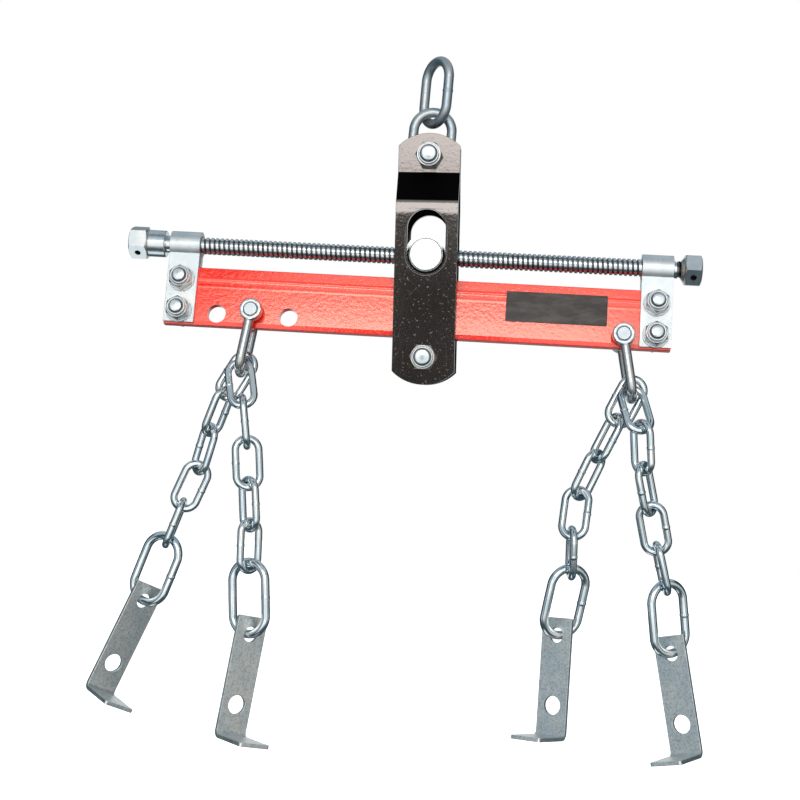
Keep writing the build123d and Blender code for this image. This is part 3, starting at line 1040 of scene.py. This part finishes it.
rib = {
    "lines": (0.0095, 0.0155),        # below the beam's top edge
    "half": 0.0017,
    "loops": (-1, -0.5, 0.5, 1),      # in half widths
    "proud": (0.00028, 0.00008),
    "foot": 0.0042,                   # the face rolls back above the bottom edge
    "footLoops": (0.35, 0.55, 0.75, 1),
    "roll": 0.00065,
    "slack": 0.00005,                 # in measuring the step that is filled
}


def pressRibs(piece, v):
    # the face above the ribs comes flush, each rib is a low ridge, and the bottom edge is rolled
    back = beamPlace.inverted()
    low, high = spanIn("beam", beamPlace)
    forward = -backOfBeam
    lines = [high.z - drop for drop in v["lines"]]
    levels = [line + v["half"] * share for line in lines for share in v["loops"]]
    levels += [low.z + v["foot"] * share for share in v["footLoops"]]
    for level in levels:
        cutAcross(piece, beamPlace @ Vector((0, 0, level)), upBeam)
    spots = [back @ vertex.co for vertex in piece.data.vertices]
    recess = min(spot.y for spot in spots if spot.z > lines[0] - v["slack"]) - low.y
    for vertex, spot in zip(piece.data.vertices, spots):
        if spot.y < 0:
            share = (spot.z - lines[1]) / (lines[0] - lines[1])
            rise = recess * min(max(share, 0), 1)
            for line, proud in zip(lines, v["proud"]):
                rise += proud * max(1 - abs(spot.z - line) / v["half"], 0)
            rise -= v["roll"] * max(1 - (spot.z - low.z) / v["foot"], 0)
            vertex.co += forward * rise


plateBend = {
    "from": 0.0310,              # from and at: heights above the trunnion
    "at": 0.0410,
    "half": 0.0015,
    "cuts": 6,
    "reach": 0.0095,
    "give": 0.0006,
}


def easeBend(piece, v, inward):
    # below its joggle the plate straightens gradually
    for n in range(v["cuts"]):
        height = v["from"] + (v["at"] - v["half"] - v["from"]) * n / v["cuts"]
        cutAcross(piece, hangerPlace @ Vector((0, 0, height)), upHanger)
    back = hangerPlace.inverted()
    pick(piece, "vertices", lambda vertex: abs((back @ vertex.co).z - v["at"]) < v["half"])
    bpy.ops.transform.translate(
        value=inward * v["give"],
        use_proportional_edit=True,
        proportional_edit_falloff="SHARP",
        proportional_size=v["reach"],
    )
    doneEditing()


shadedFaces = {"slope": (0.3, 0.97), "joggle": 0.2, "inner": 0.9}      # shares of a face's normal


def shadeHidden(piece, v, inward):
    # painted shade: the darker, less glossy paint in the joggle and on the side that faces the
    # other plate, where shade falls
    piece.data.materials.append(finishes["shadedBlack"])
    for face in piece.data.polygons:
        slopes = v["slope"][0] < abs(face.normal.dot(upHanger)) < v["slope"][1]
        joggled = slopes and abs(face.normal.dot(backOfHanger)) > v["joggle"]
        if joggled or face.normal.dot(inward) > v["inner"]:
            face.material_index = 1


inwardOf = {"front_plate": backOfHanger, "rear_plate": -backOfHanger}

for node, (width, finish, slot) in brokenEdges.items():
    piece = copyNode(node, "edged_" + node)
    if node == "beam":
        pressRibs(piece, rib)
    inward = inwardOf.get(node)
    if inward:
        easeBend(piece, plateBend, inward)
    breakEdges(piece, width)
    standFor(piece, node, finishes[finish])
    if inward:
        shadeHidden(piece, shadedFaces, inward)
print("edges broken on:", len(brokenEdges))


# Shackle bows: the eye and the leg run into each other as a forging does
forging = {"voxel": 0.0006, "softening": 10, "softenBy": 0.5, "smoothTo": 180}

for side in ("left", "right"):
    node = side + "_shackle_bow"
    bow = copyNode(node, "forged_" + node)
    remesh = bow.modifiers.new("skin", "REMESH")
    remesh.mode = "VOXEL"
    remesh.voxel_size = forging["voxel"]
    soften = bow.modifiers.new("soften", "SMOOTH")
    soften.factor = forging["softenBy"]
    soften.iterations = forging["softening"]
    settle(bow)
    smooth(bow, forging["smoothTo"])
    standFor(bow, node, finishes["forged"])
print("shackles forged")


# Lock nuts and bolts
lockNut = {
    "collar": 0.44,              # radius, as a share of the flats
    "collarHigh": 3 / 11,        # of the nut's height
    "turnOff": 1.08,             # of what the corners stand out
    "edge": 0.00025,
    "lip": 0.10,                 # of the collar's radius
    "sink": 0.0014,
    "ringSides": 64,
    "ringRound": 0.0006,
    "nylonFat": 0.8,             # of the gap that it fills
    "nylonSides": 12,
    "turns": {"strap": (0.0, 0.07, -0.05, 0.04), "top": (0.50,), "low": (0.47,)},    # radians
}
hexBolt = {
    "radius": {"strap": 10 / 34, "top": 12 / 38, "low": 12 / 38},    # share of the nut's flats
    "slack": 0.99,
    "headHigh": 1.28,            # in bolt radii
    "turnOff": 0.9,
    "edge": 0.00025,
    "dome": 0.15,                # in bolt radii
    "sides": 64,
}
turnedSides = 72


def solidsOf(node, place):
    # the corners of each separate solid of a node, along another frame's axes
    back = place.inverted()
    mesh = frame["nodes"][node].data
    spots = {}
    keys = [tuple(round(c, 6) for c in v.co) for v in mesh.vertices]
    for key in keys:
        spots.setdefault(key, key)

    def top(key):
        while spots[key] != key:
            spots[key] = spots[spots[key]]
            key = spots[key]
        return key

    for face in mesh.polygons:
        first = top(keys[face.vertices[0]])
        for n in face.vertices[1:]:
            spots[top(keys[n])] = first
    groups = {}
    for key in spots:
        groups.setdefault(top(key), []).append(back @ Vector(key))
    spans = [cornersOf(points) for points in groups.values()]
    return sorted(spans, key=lambda span: (span[0].x, -span[0].z))


def hexBody(across, height, turnOff):
    # a hexagon whose corners are turned off at both ends
    bpy.ops.object.select_all(action="DESELECT")
    corner = across / math.sqrt(3)
    bpy.ops.mesh.primitive_cylinder_add(vertices=turnedSides, radius=corner, depth=height)
    turned = bpy.context.object
    corners = turned.data.vertices

    def isRim(edge):
        first, second = (corners[n].co.z for n in edge.vertices)
        return abs(first - second) < hair

    pick(turned, "edges", isRim)
    depth = turnOff * (corner - across / 2)
    bpy.ops.mesh.bevel(offset=depth, segments=1, affect="EDGES", offset_type="OFFSET")
    doneEditing()
    bpy.ops.object.select_all(action="DESELECT")
    bpy.ops.mesh.primitive_cylinder_add(vertices=6, radius=corner, depth=height)
    body = bpy.context.object
    cut = body.modifiers.new("turnOff", "BOOLEAN")
    cut.operation = "INTERSECT"
    cut.solver = "EXACT"
    cut.object = turned
    settle(body)
    bpy.data.objects.remove(turned)
    return body


def modelNut(across, hexHigh, collarHigh, bore, v):
    # hexagon below, then the collar with its rolled lip and sunk nylon
    body = hexBody(across, hexHigh, v["turnOff"])
    shift(body, (0, 0, hexHigh / 2))
    breakEdges(body, v["edge"], 2)
    collar = across * v["collar"]
    lip = collar * v["lip"]
    middle = (0, 0, hexHigh + collarHigh / 2)
    bpy.ops.object.select_all(action="DESELECT")
    bpy.ops.mesh.primitive_cylinder_add(
        vertices=v["ringSides"], radius=collar, depth=collarHigh, location=middle
    )
    ring = bpy.context.object
    settle(ring)
    pick(ring, "polygons", lambda face: face.normal.z > 0.9)
    bpy.ops.mesh.inset(thickness=collar - bore - lip, depth=0)
    bpy.ops.mesh.extrude_region_move(TRANSFORM_OT_translate={"value": (0, 0, -v["sink"])})
    doneEditing()
    breakEdges(ring, v["ringRound"], 4)
    return joined([body, ring], "lockNut")


def modelNylon(bore, at, lip, v):
    bpy.ops.object.select_all(action="DESELECT")
    bpy.ops.mesh.primitive_torus_add(
        major_radius=bore + lip / 2,
        minor_radius=lip * v["nylonFat"],
        major_segments=v["ringSides"],
        minor_segments=v["nylonSides"],
    )
    ring = bpy.context.object
    shift(ring, (0, 0, at))
    smooth(ring, roundBar)
    return ring


def modelBolt(radius, across, headHigh, length, v):
    # head below z = 0, shank up to a domed end
    head = hexBody(across, headHigh, v["turnOff"])
    shift(head, (0, 0, -headHigh / 2))
    breakEdges(head, v["edge"], 2)
    bpy.ops.object.select_all(action="DESELECT")
    bpy.ops.mesh.primitive_uv_sphere_add(
        segments=v["sides"], ring_count=v["sides"] // 2, radius=radius
    )
    shank = bpy.context.object
    editing(shank)
    bpy.ops.transform.resize(value=(1, 1, v["dome"]), center_override=(0, 0, 0))
    doneEditing()
    pick(shank, "vertices", lambda vertex: vertex.co.z > -hair)
    bpy.ops.transform.translate(value=(0, 0, length - radius * v["dome"]))
    doneEditing()
    smooth(shank, roundBar)
    return joined([head, shank], "domedBolt")


def copyAt(piece, place):
    onlySelect(piece)
    bpy.ops.object.duplicate()
    double = bpy.context.object
    double.matrix_world = place
    settle(double)
    return double


def fastenerSet(label, nutNode, boltNode, place):
    # every nut and bolt of the two nodes, front end towards the viewer
    nutSpans = solidsOf(nutNode, place)
    boltSpans = solidsOf(boltNode, place)
    nutLow, nutHigh = nutSpans[0]
    boltLow, boltHigh = boltSpans[0]
    across = nutHigh.z - nutLow.z
    nutHeight = nutHigh.y - nutLow.y
    radius = across * hexBolt["radius"][label]
    collarHigh = nutHeight * lockNut["collarHigh"]
    nut = modelNut(across, nutHeight - collarHigh, collarHigh, radius, lockNut)
    collar = across * lockNut["collar"]
    lip = collar - radius - collar * lockNut["lip"]
    nylonShade = modelNylon(radius, nutHeight - lockNut["sink"], lip, lockNut)
    headHigh = radius * hexBolt["headHigh"]
    length = boltHigh.y - boltLow.y - headHigh
    bolt = modelBolt(radius * hexBolt["slack"], across, headHigh, length, hexBolt)
    toFront = Matrix.Rotation(math.pi / 2, 4, "X")
    nuts, rings, bolts = [], [], []
    for n, ((low, high), boltSpan) in enumerate(zip(nutSpans, boltSpans)):
        middle = (low + high) / 2
        turn = toFront @ Matrix.Rotation(lockNut["turns"][label][n], 4, "Z")
        seat = place @ Matrix.Translation((middle.x, high.y, middle.z)) @ turn
        nuts.append(copyAt(nut, seat))
        rings.append(copyAt(nylonShade, seat))
        neck = Matrix.Translation((middle.x, boltSpan[1].y - headHigh, middle.z))
        bolts.append(copyAt(bolt, place @ neck @ toFront))
    for piece in (nut, nylonShade, bolt):
        bpy.data.objects.remove(piece)
    standFor(joined(nuts, label + "LockNuts"), nutNode, finishes["nut"])
    # painted shade in the nylon rings' dark colour
    addTo(joined(rings, label + "ShadedNylonRings"), nutNode, finishes["nylonShade"])
    standFor(joined(bolts, label + "Bolts"), boltNode, finishes["bright"])


fastenerSet("strap", "strap_nuts", "strap_bolts", beamPlace)
fastenerSet("top", "top_nut", "top_bolt", hangerPlace)
fastenerSet("low", "low_nut", "low_bolt", hangerPlace)
print("nuts and bolts made")


# Screw: plain neck at the left, then a right-hand thread to the right head
thread = {
    "pitch": 0.004,
    "crest": 0.0070,
    "root": 0.0059,
    "crestWide": 0.0021,
    "rootWide": 0.0007,
    "steps": 40,                 # round each turn
    "smoothTo": 30,              # degrees
    "core": 0.0050,
    "pin": 0.0002,               # radius left open at the core's ends
    "plainSteps": 48,
    "neckEdge": 0.0002,
    "coreEdge": 0.0003,
    "seed": 0.001,               # the plane that a line is drawn from
    "mergeWithin": 0.000002,
}


def drawLine(points):
    # one vertex, drawn on from place to place
    bpy.ops.object.select_all(action="DESELECT")
    bpy.ops.mesh.primitive_plane_add(size=thread["seed"])
    line = bpy.context.object
    editing(line)
    bpy.ops.mesh.merge(type="CENTER")
    bpy.ops.transform.translate(value=points[0])
    for before, after in zip(points, points[1:]):
        step = [b - a for a, b in zip(before, after)]
        bpy.ops.mesh.extrude_region_move(TRANSFORM_OT_translate={"value": step})
    doneEditing()
    return line


def turnRound(line, steps, offset=0.0, turns=1):
    lathe = line.modifiers.new("lathe", "SCREW")
    lathe.axis = "X"
    lathe.steps = steps
    lathe.render_steps = steps
    lathe.screw_offset = offset
    lathe.iterations = turns
    settle(line)
    editing(line)
    bpy.ops.mesh.remove_doubles(threshold=thread["mergeWithin"])
    bpy.ops.mesh.normals_make_consistent(inside=False)
    doneEditing()
    return line


def turnedRod(left, right, inner, outer, edge):
    outline = [(left, 0, inner), (left, 0, outer), (right, 0, outer), (right, 0, inner)]
    rod = turnRound(drawLine(outline), thread["plainSteps"])
    breakEdges(rod, edge, 2)
    return rod


def makeScrew(v):
    low, high = spanIn("screw_rod", screwPlace)
    strapLow, strapHigh = spanIn("left_strap", screwPlace)
    headStart = spanIn("right_hex_head", screwPlace)[0].x
    collarEnd = spanIn("left_collar", screwPlace)[1].x
    start = (strapLow.x + strapHigh.x) / 2
    flank = (v["pitch"] - v["crestWide"] - v["rootWide"]) / 2
    turns = int((headStart - start) / v["pitch"])
    toRoot = v["crestWide"] + flank
    across = [0, v["crestWide"], toRoot, toRoot + v["rootWide"], v["pitch"]]
    radii = [v["crest"], v["crest"], v["root"], v["root"], v["crest"]]
    tooth = drawLine([(start + x, 0, r) for x, r in zip(across, radii)])
    spiral = turnRound(tooth, v["steps"], v["pitch"], turns)
    smooth(spiral, v["smoothTo"])
    plain = turnedRod(collarEnd, start + v["pitch"], v["core"], v["crest"], v["neckEdge"])
    middle = turnedRod(low.x, high.x, v["pin"], v["core"], v["coreEdge"])
    screw = joined([spiral, plain, middle], "threadedScrew")
    putAt(screw, screwPlace)
    standFor(screw, "screw_rod", threadFinish(threadSteel, v["root"], v["crest"]))
    print("thread turned:", turns, "turns")


makeScrew(thread)


# What stays as it came from the CAD
plainNodes = {
    "top_sleeve": "bright",
    "low_sleeve": "satin",
    "left_bush": "bronze",
    "right_bush": "bronze",
}

for node, finish in plainNodes.items():
    dress(frame["nodes"][node], finishes[finish])
print("plain nodes dressed:", len(plainNodes))

bpy.context.view_layer.update()
